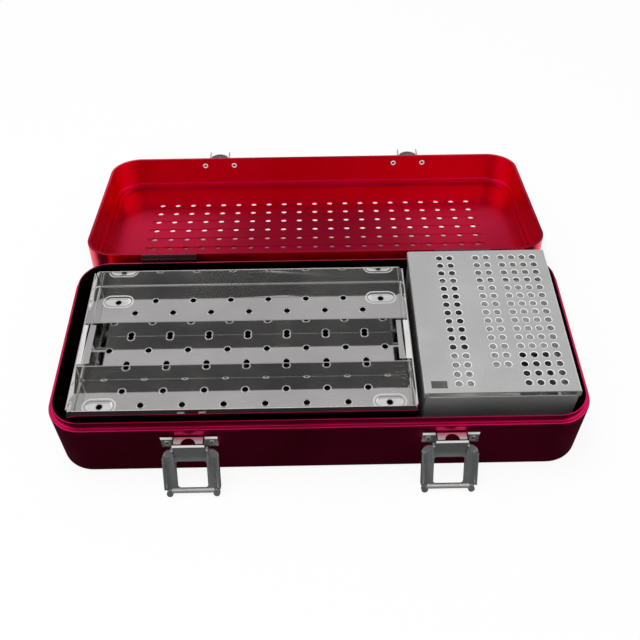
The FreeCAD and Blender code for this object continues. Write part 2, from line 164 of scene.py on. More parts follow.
# %% [markdown]
# ## Finishes
# Three effects come back in several metals: a directional grain from rolling or brushing, hair scratches, and
# broad smudges from handling. Each is a shader node group with named inputs, built once. A material then
# places it with its own scale and strength. The groups read Object coordinates, which are the drawing's own
# metres, so that grain is the same size on every piece.

# %% Node group helpers
def new_group(name, inputs, outputs):
    """A shader node group with its sockets. Inputs are (name, type, value)."""
    tree = bpy.data.node_groups.new(name, "ShaderNodeTree")
    for label, kind, value in inputs:
        socket = tree.interface.new_socket(name=label, in_out="INPUT", socket_type=kind)
        if value is not None:
            socket.default_value = value
    for label, kind in outputs:
        tree.interface.new_socket(name=label, in_out="OUTPUT", socket_type=kind)
    return tree, tree.nodes.new("NodeGroupInput"), tree.nodes.new("NodeGroupOutput")


def math_node(tree, operation, a, b=None, clamp=False):
    """A Math node. Each operand is a number or a socket."""
    node = tree.nodes.new("ShaderNodeMath")
    node.operation = operation
    node.use_clamp = clamp
    for socket, value in zip(node.inputs, (a, b)):
        if value is None:
            continue
        if isinstance(value, (int, float)):
            socket.default_value = value
        else:
            tree.links.new(value, socket)
    return node.outputs[0]


def spread(tree, value, low, high, to_low, to_high):
    """A value carried from one range to another, and held inside it."""
    node = tree.nodes.new("ShaderNodeMapRange")
    node.inputs["From Min"].default_value = low
    node.inputs["From Max"].default_value = high
    node.inputs["To Min"].default_value = to_low
    node.inputs["To Max"].default_value = to_high
    tree.links.new(value, node.inputs["Value"])
    return node.outputs["Result"]


FLOAT, VECTOR = "NodeSocketFloat", "NodeSocketVector"

# %% [markdown]
# ### Grain
# Rolling and brushing leave fine streaks. Noise on coordinates that are squeezed along one direction gives them:
# a Stretch below one draws the streaks out along that axis.

# %% Grain: fine streaks along one direction
grain_group, g_in, g_out = new_group(
    "metal_grain",
    [("Vector", VECTOR, None), ("Stretch", VECTOR, (1, 1, 1)), ("Scale", FLOAT, 900.0)],
    [("Streaks", FLOAT), ("Height", FLOAT)],
)
scaled = grain_group.nodes.new("ShaderNodeVectorMath")
scaled.operation = "MULTIPLY"
grain_group.links.new(g_in.outputs["Vector"], scaled.inputs[0])
grain_group.links.new(g_in.outputs["Stretch"], scaled.inputs[1])
streaks = grain_group.nodes.new("ShaderNodeTexNoise")
streaks.inputs["Detail"].default_value = 3.0
streaks.inputs["Roughness"].default_value = 0.6
grain_group.links.new(scaled.outputs[0], streaks.inputs["Vector"])
grain_group.links.new(g_in.outputs["Scale"], streaks.inputs["Scale"])
grain_group.links.new(spread(grain_group, streaks.outputs[0], 0.3, 0.7, 0, 1), g_out.inputs["Streaks"])
grain_group.links.new(streaks.outputs[0], g_out.inputs["Height"])
print("group", grain_group.name)

# %% [markdown]
# ### Hair scratches
# Where a smooth noise passes through its middle value it draws thin winding lines. Stretched, they are nearly
# straight, as scratches from instruments are, and a second, broad noise keeps them to some places.

# %% Scratches: the thin bright lines where two bands of noise cross
scratch_group, s_in, s_out = new_group(
    "hair_scratches",
    [("Vector", VECTOR, None), ("Stretch", VECTOR, (1, 8, 8)), ("Scale", FLOAT, 30.0), ("Width", FLOAT, 0.01)],
    [("Mask", FLOAT)],
)
scaled = scratch_group.nodes.new("ShaderNodeVectorMath")
scaled.operation = "MULTIPLY"
scratch_group.links.new(s_in.outputs["Vector"], scaled.inputs[0])
scratch_group.links.new(s_in.outputs["Stretch"], scaled.inputs[1])
bands = scratch_group.nodes.new("ShaderNodeTexNoise")
bands.inputs["Detail"].default_value = 1.0
scratch_group.links.new(scaled.outputs[0], bands.inputs["Vector"])
scratch_group.links.new(s_in.outputs["Scale"], bands.inputs["Scale"])
away = math_node(scratch_group, "ABSOLUTE", math_node(scratch_group, "SUBTRACT", bands.outputs[0], 0.5))
line = math_node(scratch_group, "LESS_THAN", away, s_in.outputs["Width"])
patches = scratch_group.nodes.new("ShaderNodeTexNoise")
patches.inputs["Scale"].default_value = 24.0
scratch_group.links.new(s_in.outputs["Vector"], patches.inputs["Vector"])
somewhere = spread(scratch_group, patches.outputs[0], 0.50, 0.62, 0, 1)
scratch_group.links.new(math_node(scratch_group, "MULTIPLY", line, somewhere), s_out.inputs["Mask"])
print("group", scratch_group.name)

# %% [markdown]
# ### Smudges
# Handling and washing leave broad, soft differences in shine. A distorted noise of a few centimetres is enough,
# because only the roughness and a little of the tone follow it.

# %% Smudges: broad soft differences from handling and washing
smudge_group, m_in, m_out = new_group(
    "handling_smudges",
    [("Vector", VECTOR, None), ("Scale", FLOAT, 14.0)],
    [("Tone", FLOAT)],
)
clouds = smudge_group.nodes.new("ShaderNodeTexNoise")
clouds.inputs["Detail"].default_value = 4.0
clouds.inputs["Distortion"].default_value = 0.4
smudge_group.links.new(m_in.outputs["Vector"], clouds.inputs["Vector"])
smudge_group.links.new(m_in.outputs["Scale"], clouds.inputs["Scale"])
smudge_group.links.new(spread(smudge_group, clouds.outputs[0], 0.35, 0.65, 0, 1), m_out.inputs["Tone"])
print("group", smudge_group.name)

# %% [markdown]
# ## One recipe for the metals
# All parts are sheet metal, so one function builds each material: a Principled shader whose colour and
# roughness run between two values with the smudges, whose scratches are a little rougher and paler, and whose
# bump comes from the grain. What differs from metal to metal is handed in by name. A Metallic below one lets
# some of a finish's own colour show where nothing bright is reflected; on the pale white finish and on the feet,
# that colour is a painted highlight.

# %% The recipe
GRAIN_SHARE, SMUDGE_SHARE, WORN_ROUGHER, RELIEF_DEPTH = 0.35, 0.65, 0.25, 0.0004
EVEN, ALONG_X, ALONG_Z = (1, 1, 1), (0.06, 1, 1), (1, 1, 0.1)


def metal(name, dark, light, rough, metallic=1.0, grain=EVEN, grain_scale=900.0, bump=0.02, scratch=0.0,
          scratch_stretch=(1, 8, 8), smudge_scale=14.0):
    """A metal finish between two colours and two roughnesses, with grain, scratches and smudges."""
    mat = bpy.data.materials.new(name)
    mat.use_nodes = True
    tree = mat.node_tree
    shader = tree.nodes["Principled BSDF"]
    shader.inputs["Metallic"].default_value = metallic
    place = tree.nodes.new("ShaderNodeTexCoord").outputs["Object"]

    def group(which, **values):
        node = tree.nodes.new("ShaderNodeGroup")
        node.node_tree = which
        tree.links.new(place, node.inputs["Vector"])
        for label, value in values.items():
            node.inputs[label].default_value = value
        return node

    fine = group(grain_group, Stretch=grain, Scale=grain_scale)
    smudges = group(smudge_group, Scale=smudge_scale)
    lines = group(scratch_group, Stretch=scratch_stretch)
    tone = tree.nodes.new("ShaderNodeMix")
    tone.data_type = "RGBA"
    tone.inputs["A"].default_value = (*dark, 1)
    tone.inputs["B"].default_value = (*light, 1)
    mixed = math_node(tree, "MULTIPLY_ADD", fine.outputs["Streaks"], GRAIN_SHARE)
    broad = math_node(tree, "MULTIPLY", smudges.outputs["Tone"], SMUDGE_SHARE)
    tree.links.new(broad, mixed.node.inputs[2])
    worn = math_node(tree, "MULTIPLY", lines.outputs["Mask"], scratch)
    tree.links.new(math_node(tree, "ADD", mixed, worn, clamp=True), tone.inputs["Factor"])
    tree.links.new(tone.outputs["Result"], shader.inputs["Base Color"])
    uneven = spread(tree, smudges.outputs["Tone"], 0, 1, *rough)
    rougher = math_node(tree, "MULTIPLY", worn, WORN_ROUGHER)
    tree.links.new(math_node(tree, "ADD", uneven, rougher), shader.inputs["Roughness"])
    relief = tree.nodes.new("ShaderNodeBump")
    relief.inputs["Strength"].default_value = bump
    relief.inputs["Distance"].default_value = RELIEF_DEPTH
    tree.links.new(fine.outputs["Height"], relief.inputs["Height"])
    tree.links.new(relief.outputs["Normal"], shader.inputs["Normal"])
    return mat


# %% [markdown]
# ## The reds
# Anodised aluminium is bright metal under a clear dyed oxide, so it is a coloured mirror, not a paint: its Metallic
# is one, and its colour shows only in what it reflects. The lid's red is a little brighter and less blue than the
# base's. The inner faces of the base get a much darker red, which stands for the shade inside a deep box.

# %% Reds
RED_SHEET = {"grain_scale": 2600, "bump": 0.04, "smudge_scale": 9}
crimson = metal("crimson_anodised", (0.70, 0.008, 0.105), (0.84, 0.012, 0.145), (0.27, 0.36),
                scratch=0.3, **RED_SHEET)
lid_crimson = metal("crimson_lid", (0.80, 0.002, 0.055), (0.92, 0.003, 0.075), (0.27, 0.36),
                    scratch=0.3, **RED_SHEET)
# Painted shade: a dark copy of the red for faces that lie in shade.
shaded_crimson = metal("crimson_inner_face", (0.045, 0.0005, 0.008), (0.09, 0.001, 0.016), (0.32, 0.42),
                       scratch=0.2, **RED_SHEET)
print("reds:", [m.name for m in (crimson, lid_crimson, shaded_crimson)])

# %% [markdown]
# ## The steels
# The instrument tray is polished to a mirror, so its roughness is low and nearly even. The lower tray, which
# hardly shows, and the springs of the latches are duller. The rack is satin: its grain runs along the case.

# %% Steels
ROLLED = {"grain": ALONG_X, "grain_scale": 1500}
mirror = metal("mirror_polished_steel", (0.74, 0.74, 0.73), (0.88, 0.88, 0.86), (0.05, 0.10), bump=0.001,
               scratch=0.3, **ROLLED)
# Painted highlight: the feet are the tray's own steel, made paler and less metallic so that the dishes read bright.
foot_painted_highlight = metal("pressed_foot_steel", (0.84, 0.84, 0.84), (0.94, 0.94, 0.93), (0.10, 0.16), 0.65,
                     grain_scale=1500, bump=0.002, scratch=0.2)
dull_inside = metal("dull_inner_steel", (0.16, 0.15, 0.155), (0.26, 0.25, 0.255), (0.25, 0.4), bump=0.03,
                    scratch=0.2, **ROLLED)
satin = metal("satin_steel", (0.66, 0.67, 0.66), (0.80, 0.81, 0.80), (0.30, 0.40), 0.75,
              grain=(0.05, 1, 1), grain_scale=1400, bump=0.05, scratch=0.5, scratch_stretch=(8, 1, 8))
spring = metal("dull_spring_steel", (0.38, 0.40, 0.40), (0.56, 0.58, 0.58), (0.16, 0.24), 0.85,
               grain=ALONG_Z, grain_scale=1500, bump=0.015, scratch=0.25, scratch_stretch=(8, 8, 1))
# Painted shade: the hinge steel is near black and tinted red, so that the hinges sink into the dark under the lid's
# rim.
hinge_painted_shade = metal("dark_hinge_steel", (0.045, 0.02, 0.024), (0.09, 0.04, 0.048), (0.30, 0.42),
                    grain=(0.1, 1, 1), grain_scale=1400, bump=0.05, scratch=0.3)
print("steels:", [m.name for m in (mirror, foot_painted_highlight, dull_inside, satin, spring, hinge_painted_shade)])

# %% [markdown]
# ## Pale and dark bits: painted highlight and painted shade
# The screw plate and the turned rims read as nearly white, the rivets as bare aluminium, and their bores as black.
# The white is a painted highlight: it has no Metallic at all, because a metal at those places would only reflect
# the dark around it. The black of the bores is painted shade.

# %% Pale and dark finishes: painted highlight and painted shade
# Painted highlight: white with no Metallic, standing for the brightness that these metal parts get from
# reflections.
pale_painted_highlight = metal("pale_brushed_plate", (0.88, 0.88, 0.87), (0.94, 0.94, 0.93), (0.35, 0.5), 0.0,
                   grain=(0.05, 1, 1), grain_scale=1200, bump=0.04, scratch=0.3)
bright = metal("bare_aluminium", (0.76, 0.75, 0.75), (0.90, 0.89, 0.89), (0.18, 0.28), 0.9,
               grain_scale=2400, bump=0.03)
# Painted shade: near black for the hollows of bores and dimples.
dark_bore = metal("dark_bore", (0.010, 0.010, 0.012), (0.03, 0.03, 0.034), (0.35, 0.5), 0.0, bump=0.03)
print("others:", [m.name for m in (pale_painted_highlight, bright, dark_bore)])

# %% [markdown]
# ## Round holes by the hundred
# The drawing's holes are six-sided to keep the solids light. On the real case they are punched round. A
# Geometry Nodes tree takes the sheet, a set of points for the hole centres, a radius and a tilt, puts one
# round punch at each point and takes them all away from the sheet in one Boolean. The points come in as a
# separate small object, so that one tree serves the lid, the rack's cover and the tray.

# %% Geometry Nodes helpers
def new_geometry_tree(name, inputs):
    """A Geometry Nodes tree with a geometry in and out, and named inputs."""
    tree = bpy.data.node_groups.new(name, "GeometryNodeTree")
    tree.is_modifier = True
    tree.interface.new_socket(name="Geometry", in_out="INPUT", socket_type="NodeSocketGeometry")
    for label, kind, value in inputs:
        socket = tree.interface.new_socket(name=label, in_out="INPUT", socket_type=kind)
        if value is not None:
            socket.default_value = value
    tree.interface.new_socket(name="Geometry", in_out="OUTPUT", socket_type="NodeSocketGeometry")
    return tree, tree.nodes.new("NodeGroupInput"), tree.nodes.new("NodeGroupOutput")


def identifiers(tree):
    """The identifier of each input, by its name."""
    sockets = [s for s in tree.interface.items_tree if s.item_type == "SOCKET" and s.in_out == "INPUT"]
    return {s.name: s.identifier for s in sockets}


def grown(obj, tree, **values):
    """Runs a tree on the object with named values, and keeps the result as a plain mesh."""
    modifier = obj.modifiers.new(tree.name, "NODES")
    modifier.node_group = tree
    known = identifiers(tree)
    for label, value in values.items():
        modifier[known[label.replace("_", " ")]] = value
    return made_plain(obj)


def points_object(name, points):
    """A mesh of bare vertices, in metres."""
    mesh = bpy.data.meshes.new(name)
    mesh.from_pydata([tuple(p) for p in points], [], [])
    return linked(name, mesh)


INT, MATERIAL, OBJECT = "NodeSocketInt", "NodeSocketMaterial", "NodeSocketObject"

# %% The punching tree
punch_tree, p_in, p_out = new_geometry_tree(
    "round_punches",
    [("Centres", OBJECT, None), ("Radius", FLOAT, 0.0023), ("Length", FLOAT, 0.006), ("Tilt", VECTOR, (0, 0, 0)),
     ("Sides", INT, 24), ("Finish", MATERIAL, None)],
)
where = punch_tree.nodes.new("GeometryNodeObjectInfo")
punch = punch_tree.nodes.new("GeometryNodeMeshCylinder")
stand = punch_tree.nodes.new("GeometryNodeInstanceOnPoints")
solid_punches = punch_tree.nodes.new("GeometryNodeRealizeInstances")
cut = punch_tree.nodes.new("GeometryNodeMeshBoolean")
cut.operation = "DIFFERENCE"
cut.solver = "EXACT"
whole = punch_tree.nodes.new("GeometryNodeRealizeInstances")
painted = punch_tree.nodes.new("GeometryNodeSetMaterial")
for start, end in (
    (p_in.outputs["Centres"], where.inputs["Object"]), (p_in.outputs["Sides"], punch.inputs["Vertices"]),
    (p_in.outputs["Radius"], punch.inputs["Radius"]), (p_in.outputs["Length"], punch.inputs["Depth"]),
    (where.outputs["Geometry"], stand.inputs["Points"]), (punch.outputs["Mesh"], stand.inputs["Instance"]),
    (p_in.outputs["Tilt"], stand.inputs["Rotation"]), (stand.outputs[0], solid_punches.inputs[0]),
    (p_in.outputs["Geometry"], cut.inputs[0]), (solid_punches.outputs[0], cut.inputs[1]),
    (cut.outputs[0], whole.inputs[0]), (whole.outputs[0], painted.inputs["Geometry"]),
    (p_in.outputs["Finish"], painted.inputs["Material"]), (painted.outputs[0], p_out.inputs[0]),
):
    punch_tree.links.new(start, end)
print("tree", punch_tree.name, "inputs", list(identifiers(punch_tree)))


PUNCH_LENGTH = 6.0


def perforated(name, node, centres, radius, tilt, finish, crisp=50):
    """A copy of a CAD sheet with a round hole at each centre, smooth up to the angle called crisp."""
    sheet = linked(name, to_mesh(merged(node), name))
    places = points_object(name + "_centres", centres)
    grown(sheet, punch_tree, Centres=places, Radius=radius * MM, Length=PUNCH_LENGTH * MM, Tilt=tilt, Finish=finish)
    bpy.data.objects.remove(places)
    bm = bmesh.new()
    bm.from_mesh(sheet.data)
    bmesh.ops.remove_doubles(bm, verts=bm.verts, dist=WELD)
    flat_faces_joined(bm).to_mesh(sheet.data)
    bm.free()
    sheet.data.polygons.foreach_set("use_smooth", [True] * len(sheet.data.polygons))
    sheet.data.set_sharp_from_angle(angle=math.radians(crisp))
    return evenly_shaded(sheet)


# %% [markdown]
# ## Rims, rings and rivet heads
# A punched hole has a small rounded rim that catches the light, and a tubular rivet shows as a ring. Both are
# one small tree: a circle at each point, swept with a round profile. A solid rivet head is a flattened ball
# half sunk in the sheet. The points are the object's own vertices.

# %% The ring tree
ring_tree, r_in, r_out = new_geometry_tree(
    "small_rings",
    [("Ring Radius", FLOAT, 0.003), ("Wire Radius", FLOAT, 0.0004), ("Tilt", VECTOR, (0, 0, 0)),
     ("Finish", MATERIAL, None)],
)
circle = ring_tree.nodes.new("GeometryNodeCurvePrimitiveCircle")
circle.inputs["Resolution"].default_value = 20
wire = ring_tree.nodes.new("GeometryNodeCurvePrimitiveCircle")
wire.inputs["Resolution"].default_value = 6
swept = ring_tree.nodes.new("GeometryNodeCurveToMesh")
stand = ring_tree.nodes.new("GeometryNodeInstanceOnPoints")
whole = ring_tree.nodes.new("GeometryNodeRealizeInstances")
smooth = ring_tree.nodes.new("GeometryNodeSetShadeSmooth")
painted = ring_tree.nodes.new("GeometryNodeSetMaterial")
for start, end in (
    (r_in.outputs["Ring Radius"], circle.inputs["Radius"]), (r_in.outputs["Wire Radius"], wire.inputs["Radius"]),
    (circle.outputs["Curve"], swept.inputs["Curve"]), (wire.outputs["Curve"], swept.inputs["Profile Curve"]),
    (r_in.outputs["Geometry"], stand.inputs["Points"]), (swept.outputs["Mesh"], stand.inputs["Instance"]),
    (r_in.outputs["Tilt"], stand.inputs["Rotation"]), (stand.outputs[0], whole.inputs[0]),
    (whole.outputs[0], smooth.inputs[0]), (smooth.outputs[0], painted.inputs["Geometry"]),
    (r_in.outputs["Finish"], painted.inputs["Material"]), (painted.outputs[0], r_out.inputs[0]),
):
    ring_tree.links.new(start, end)
print("tree", ring_tree.name, "inputs", list(identifiers(ring_tree)))

# %% [markdown]
# The rivet head is a ball, flattened by its Rise and half sunk in the sheet. It could be a revolved profile, but
# at three millimetres across a flattened ball can't be told from one.

# %% The rivet head tree
head_tree, h_in, h_out = new_geometry_tree(
    "rivet_heads",
    [("Head Radius", FLOAT, 0.003), ("Rise", FLOAT, 0.4), ("Tilt", VECTOR, (0, 0, 0)), ("Finish", MATERIAL, None)],
)
ball = head_tree.nodes.new("GeometryNodeMeshUVSphere")
ball.inputs["Segments"].default_value = 20
ball.inputs["Rings"].default_value = 10
flat = head_tree.nodes.new("ShaderNodeCombineXYZ")
flat.inputs["X"].default_value = 1.0
flat.inputs["Y"].default_value = 1.0
stand = head_tree.nodes.new("GeometryNodeInstanceOnPoints")
whole = head_tree.nodes.new("GeometryNodeRealizeInstances")
smooth = head_tree.nodes.new("GeometryNodeSetShadeSmooth")
painted = head_tree.nodes.new("GeometryNodeSetMaterial")
for start, end in (
    (h_in.outputs["Head Radius"], ball.inputs["Radius"]), (h_in.outputs["Rise"], flat.inputs["Z"]),
    (h_in.outputs["Geometry"], stand.inputs["Points"]), (ball.outputs["Mesh"], stand.inputs["Instance"]),
    (h_in.outputs["Tilt"], stand.inputs["Rotation"]), (flat.outputs[0], stand.inputs["Scale"]),
    (stand.outputs[0], whole.inputs[0]), (whole.outputs[0], smooth.inputs[0]),
    (smooth.outputs[0], painted.inputs["Geometry"]), (h_in.outputs["Finish"], painted.inputs["Material"]),
    (painted.outputs[0], h_out.inputs[0]),
):
    head_tree.links.new(start, end)
print("tree", head_tree.name, "inputs", list(identifiers(head_tree)))


def rings(name, points, ring_radius, wire_radius, tilt, finish, body):
    """Small rings at the points, as one piece."""
    piece = points_object(name, points)
    grown(piece, ring_tree, Ring_Radius=ring_radius * MM, Wire_Radius=wire_radius * MM, Tilt=tilt, Finish=finish)
    return settled(piece, body)


def rivet_heads(name, points, radius, rise, tilt, finish, body, slot):
    """Domed heads at the points, as one piece."""
    piece = points_object(name, points)
    grown(piece, head_tree, Head_Radius=radius * MM, Rise=rise, Tilt=tilt, Finish=finish)
    return settled(piece, body)


# %% [markdown]
# ## The lid
# The lid is a drawn red shell with 21 by 7 holes in shallow pressed beads. The centres are laid out on the shut
# lid and carried over by the opening turn, so the pattern is the drawing's own. Only very shallow angles are
# shaded smooth here, because a wider limit would let the flat panel and the beads' low steps run together.

# %% Lid holes
LID_HOLE_COLUMNS, LID_HOLE_ROWS, LID_PITCH = 21, 7, 18.2
LID_PANEL_Z, LID_HOLE_RADIUS, LID_CRISP = 103.7, 3.0, 20
LID_TILT = (math.pi - LID_TURN, 0, 0)


def around_zero(count):
    """Whole steps to both sides of zero, for an odd count."""
    return range(-(count // 2), count // 2 + 1)


lid_centres = [
    OPENED @ (Vector((column * LID_PITCH, row * LID_PITCH, LID_PANEL_Z)) * MM)
    for column in around_zero(LID_HOLE_COLUMNS) for row in around_zero(LID_HOLE_ROWS)
]
lid_sheet = perforated("lid_sheet", "lid_shell", lid_centres, LID_HOLE_RADIUS, LID_TILT, lid_crimson, LID_CRISP)
settled(lid_sheet, "lid", ("lid_shell",))

# %% [markdown]
# ## The base
# The base has no holes. It is a copy with weighted normals, so that its shoulder and its round bottom edge draw
# the bright lines that make drawn metal read as thick and smooth. Inside, the walls see only one another and the
# trays, and go nearly black. A darker red on the faces that look inwards says that more plainly than light alone.

# %% Base
BASE_INSIDE_TOP, BASE_FLOOR_TOP = 71.5, 12.0
LOOKS_INWARD, LOOKS_UP = -0.2, 0.5
base_sheet = linked("base_sheet", to_mesh(merged("base_shell"), "base_sheet"))
base_sheet.data.materials.clear()
base_sheet.data.materials.append(crimson)
base_sheet.data.materials.append(shaded_crimson)
evenly_shaded(base_sheet)
# Painted shade: faces that look inwards below the rim, and the floor's top, take the dark red.
for face in base_sheet.data.polygons:
    middle, facing = face.center, face.normal
    inward = facing.x * middle.x + facing.y * middle.y < LOOKS_INWARD * math.hypot(middle.x, middle.y)
    floor_top = facing.z > LOOKS_UP and middle.z < BASE_FLOOR_TOP * MM
    if (inward and middle.z < BASE_INSIDE_TOP * MM) or floor_top:
        face.material_index = 1
settled(base_sheet, "base", ("base_shell",))

# %% [markdown]
# ## The instrument tray
# Mirror-polished sheet. Its holes stand in staggered rows, and the four outermost lie in pressed feet, one
# sheet's depth lower. Each hole gets a thin bright rim, which is what shows most from a distance. The rims are
# rings from the small tree above, so one wire radius sets them all.

# %% Tray holes and rims
TRAY_CENTRE = (-66.5, -10.2)
TRAY_COLUMN, TRAY_ROW, TRAY_ROWS = 36.9, 15.75, 9
TRAY_FLOOR_Z, FOOT_FLOOR_Z = 63.5, 61.5
TRAY_HOLE_RADIUS, TRAY_RIM_RADIUS, TRAY_RIM_WIRE = 2.86, 3.35, 0.6
FOOT_COLUMN, FOOT_ROW = 3.5, 4
LEVEL = (0, 0, 0)
floor_holes, foot_holes = [], []
for row in around_zero(TRAY_ROWS):
    columns = [k + 0.5 for k in range(-4, 4)] if row % 2 == 0 else range(-3, 4)
    for column in columns:
        in_foot = abs(row) == FOOT_ROW and abs(column) == FOOT_COLUMN
        z = FOOT_FLOOR_Z if in_foot else TRAY_FLOOR_Z
        place = Vector((TRAY_CENTRE[0] + column * TRAY_COLUMN, TRAY_CENTRE[1] + row * TRAY_ROW, z)) * MM
        (foot_holes if in_foot else floor_holes).append(place)
all_holes = floor_holes + foot_holes
tray_sheet = perforated("tray_sheet", "instrument_tray", all_holes, TRAY_HOLE_RADIUS, LEVEL, mirror)
settled(tray_sheet, "instrument_tray", ("instrument_tray",))
rings("tray_hole_rims", floor_holes, TRAY_RIM_RADIUS, TRAY_RIM_WIRE, LEVEL, bright, "instrument_tray")

# %% [markdown]
# The four feet are pressed dishes with soft sides. The drawing has them as plain wells, so a dish lies in each
# well: a stack of obround outlines, wide at the floor and narrow at the bottom, joined ring to ring, with its
# last ring round the hole. Smooth shading turns the steps into one flowing side. The outlines are listed as half
# length, half width and height above the tray's floor.

# %% Foot dishes
DISH_RINGS = ((15.4, 8.4, 0.02), (14.6, 7.6, 0.10), (13.8, 6.8, 0.00), (12.9, 5.9, -0.45), (12.0, 5.0, -1.05),
              (11.0, 4.2, -1.45), (9.8, 3.5, -1.62), (2.9, 2.9, -1.7))
DISH_POINTS = 40
FOOT_RIM_LIFT, FOOT_RIM_RADIUS, FOOT_RIM_WIRE = 0.35, 3.2, 0.45


def obround_ring(centre, half_length, half_width, z):
    """Points round an obround outline, level at z, starting at its right end."""
    points = []
    straight = half_length - half_width
    for k in range(DISH_POINTS):
        a = 2 * math.pi * k / DISH_POINTS
        side = math.copysign(1, math.cos(a)) * straight
        points.append(Vector((centre.x / MM + side + half_width * math.cos(a),
                              centre.y / MM + half_width * math.sin(a), z)) * MM)
    return points


def moved(points, x, y, z):
    """The same points, moved by millimetres."""
    return [p + Vector((x, y, z)) * MM for p in points]


bm = bmesh.new()
for hole in foot_holes:
    loops = [obround_ring(hole, length, width, TRAY_FLOOR_Z + rise) for length, width, rise in DISH_RINGS]
    grid = [[bm.verts.new(p) for p in loop] for loop in loops]
    for outer, inner in zip(grid, grid[1:]):
        for k in range(DISH_POINTS):
            n = (k + 1) % DISH_POINTS
            bm.faces.new((outer[k], outer[n], inner[n], inner[k]))
dishes = linked("foot_dishes", to_mesh(bm, "foot_dishes"))
# The dishes take the paler steel, a painted highlight.
dishes.data.materials.append(foot_painted_highlight)
settled(dishes, "instrument_tray")
rings("foot_hole_rims", moved(foot_holes, 0, 0, FOOT_RIM_LIFT), FOOT_RIM_RADIUS, FOOT_RIM_WIRE, LEVEL, bright,
      "instrument_tray")

# %% [markdown]
# ## Plain sheet pieces
# Dividers, lower tray, rack box, hinge leaves, brackets, pins, levers and catches keep the drawing's shape. A
# small bevel on their sheared edges gives each a thin line of light, as a deburred edge has. A Bevel modifier
# does that on faces joined flat beforehand, because it would otherwise stumble over the loose triangles.

# %% Bevelled copies
BEVEL_FROM = math.radians(55)
LEAF_EDGE, SHEET_EDGE, THICK_EDGE, LEVER_EDGE = 0.2, 0.25, 0.3, 0.35


def softened(node, finish, body, width, cut_z=None):
    """A bevelled, evenly shaded copy of one solid, with its flat faces parted at a height if one is given."""
    bm = flat_faces_joined(merged(node))
    if cut_z is not None:
        everything = bm.verts[:] + bm.edges[:] + bm.faces[:]
        bmesh.ops.bisect_plane(bm, geom=everything, plane_co=(0, 0, cut_z * MM), plane_no=(0, 0, 1))
    piece = linked(node + "_sheet", to_mesh(bm, node))
    piece.data.materials.clear()
    piece.data.materials.append(finish)
    edge = piece.modifiers.new("soft_edge", "BEVEL")
    edge.width = width * MM
    edge.segments = 2
    edge.limit_method = "ANGLE"
    edge.angle_limit = BEVEL_FROM
    edge.miter_outer = "MITER_ARC"
    made_plain(piece)
    return settled(evenly_shaded(piece), body, (node,))


for node in ("front_divider", "rear_divider"):
    softened(node, mirror, "instrument_tray", THICK_EDGE)
softened("lower_tray", dull_inside, "lower_tray", SHEET_EDGE)
softened("rack_body", satin, "rack", THICK_EDGE)

# %% [markdown]
# ## Hinges and latches
# The bracket's upper edge is bent over and catches the sky, while the half-round tongue behind it lies in shade.
# Its faces are parted at the bend, so that the bent edge and the tops take a pale painted highlight and the
# tongue's top a dark red painted shade.

# %% Hinges, brackets, pins, levers and catches
BRACKET_BEND_Z, BRACKET_TOP_FROM = 53.5, 56.0
TONGUE_FRONT, TONGUE_REAR = -111.2, -103.6
FACES_UP, FACES_FRONT = 0.9, -0.5


def bracket_painted_light(bracket):
    """The tongue's top takes dark red as painted shade, and the bent edge and the other tops take pale as painted
    highlight.
    """
    bracket.data.materials.append(shaded_crimson)
    bracket.data.materials.append(pale_painted_highlight)
    for face in bracket.data.polygons:
        y, z = face.center.y / MM, face.center.z / MM
        if face.normal.z > FACES_UP and z > BRACKET_TOP_FROM:
            face.material_index = 1 if TONGUE_FRONT < y < TONGUE_REAR else 2
        elif z > BRACKET_BEND_Z and face.normal.y < FACES_FRONT:
            face.material_index = 2


for side in SIDES:
    softened(f"{side}_hinge_base_leaf", hinge_painted_shade, "base", LEAF_EDGE)
    softened(f"{side}_hinge_lid_leaf", hinge_painted_shade, "lid", LEAF_EDGE)
    softened(f"{side}_hinge_pin", hinge_painted_shade, "base", THICK_EDGE)
    bracket_painted_light(softened(f"{side}_latch_bracket", spring, "base", SHEET_EDGE, BRACKET_BEND_Z))
    softened(f"{side}_latch_pin", spring, "base", THICK_EDGE)
    softened(f"{side}_latch_lever", spring, f"{side}_lever", LEVER_EDGE)
    softened(f"{side}_lid_catch", spring, "lid", SHEET_EDGE)

# %% [markdown]
# A thin plate, bent over from the bracket's face, closes its channel above, and the half-round tongue shows in it
# with its dark red painted shade. The plate's bare aluminium, paler than the bracket's steel, is a painted
# highlight. The plate is a plain block that lies just under the tongue's top, so that it needs no cut-out.

# %% Bracket tops
TOP_LENGTH, TOP_DEPTH, TOP_SHEET = 27.6, 8.2, 0.5
TOP_Y, TOP_Z = -107.4, 56.7
for side, middle in zip(SIDES, LATCH_XS):
    bm = bmesh.new()
    for v in bmesh.ops.create_cube(bm, size=1.0)["verts"]:
        v.co = Vector((middle + v.co.x * TOP_LENGTH, TOP_Y + v.co.y * TOP_DEPTH, TOP_Z + v.co.z * TOP_SHEET)) * MM
    top = linked(f"{side}_bracket_top", to_mesh(bm, f"{side}_bracket_top"))
    # Painted highlight: bare aluminium on the bent-over steel.
    top.data.materials.append(bright)
    settled(top, "base")

# %% [markdown]
# The levers are rolled from sheet: their sides curl up into the flanges instead of meeting them at a corner,
# and the bar between the knobs is crowned. A curved filler in each corner and a crown on the bar give that. The
# crown takes the paler satin steel, a painted highlight along the bar.
# Both are drawn on the shut lever, as a section swept along it, and then carried to where the lever hangs.

# %% Rolled sides and crowned bars
LEVER_FACE_Y, FLANGE_INSIDE, ROLL = -112.5, 23.3, 7.0
COVE_START, COVE_END, COVE_RISE = 53.0, 84.2, 4.4
CROWN_Z, CROWN_HALF_WIDTH, CROWN_RISE, CROWN_REACH = 87.75, 2.3, 1.3, 19.0
SEAT_Y = LEVER_FACE_Y - 0.05
QUARTER = [math.radians(a) for a in range(0, 91, 9)]


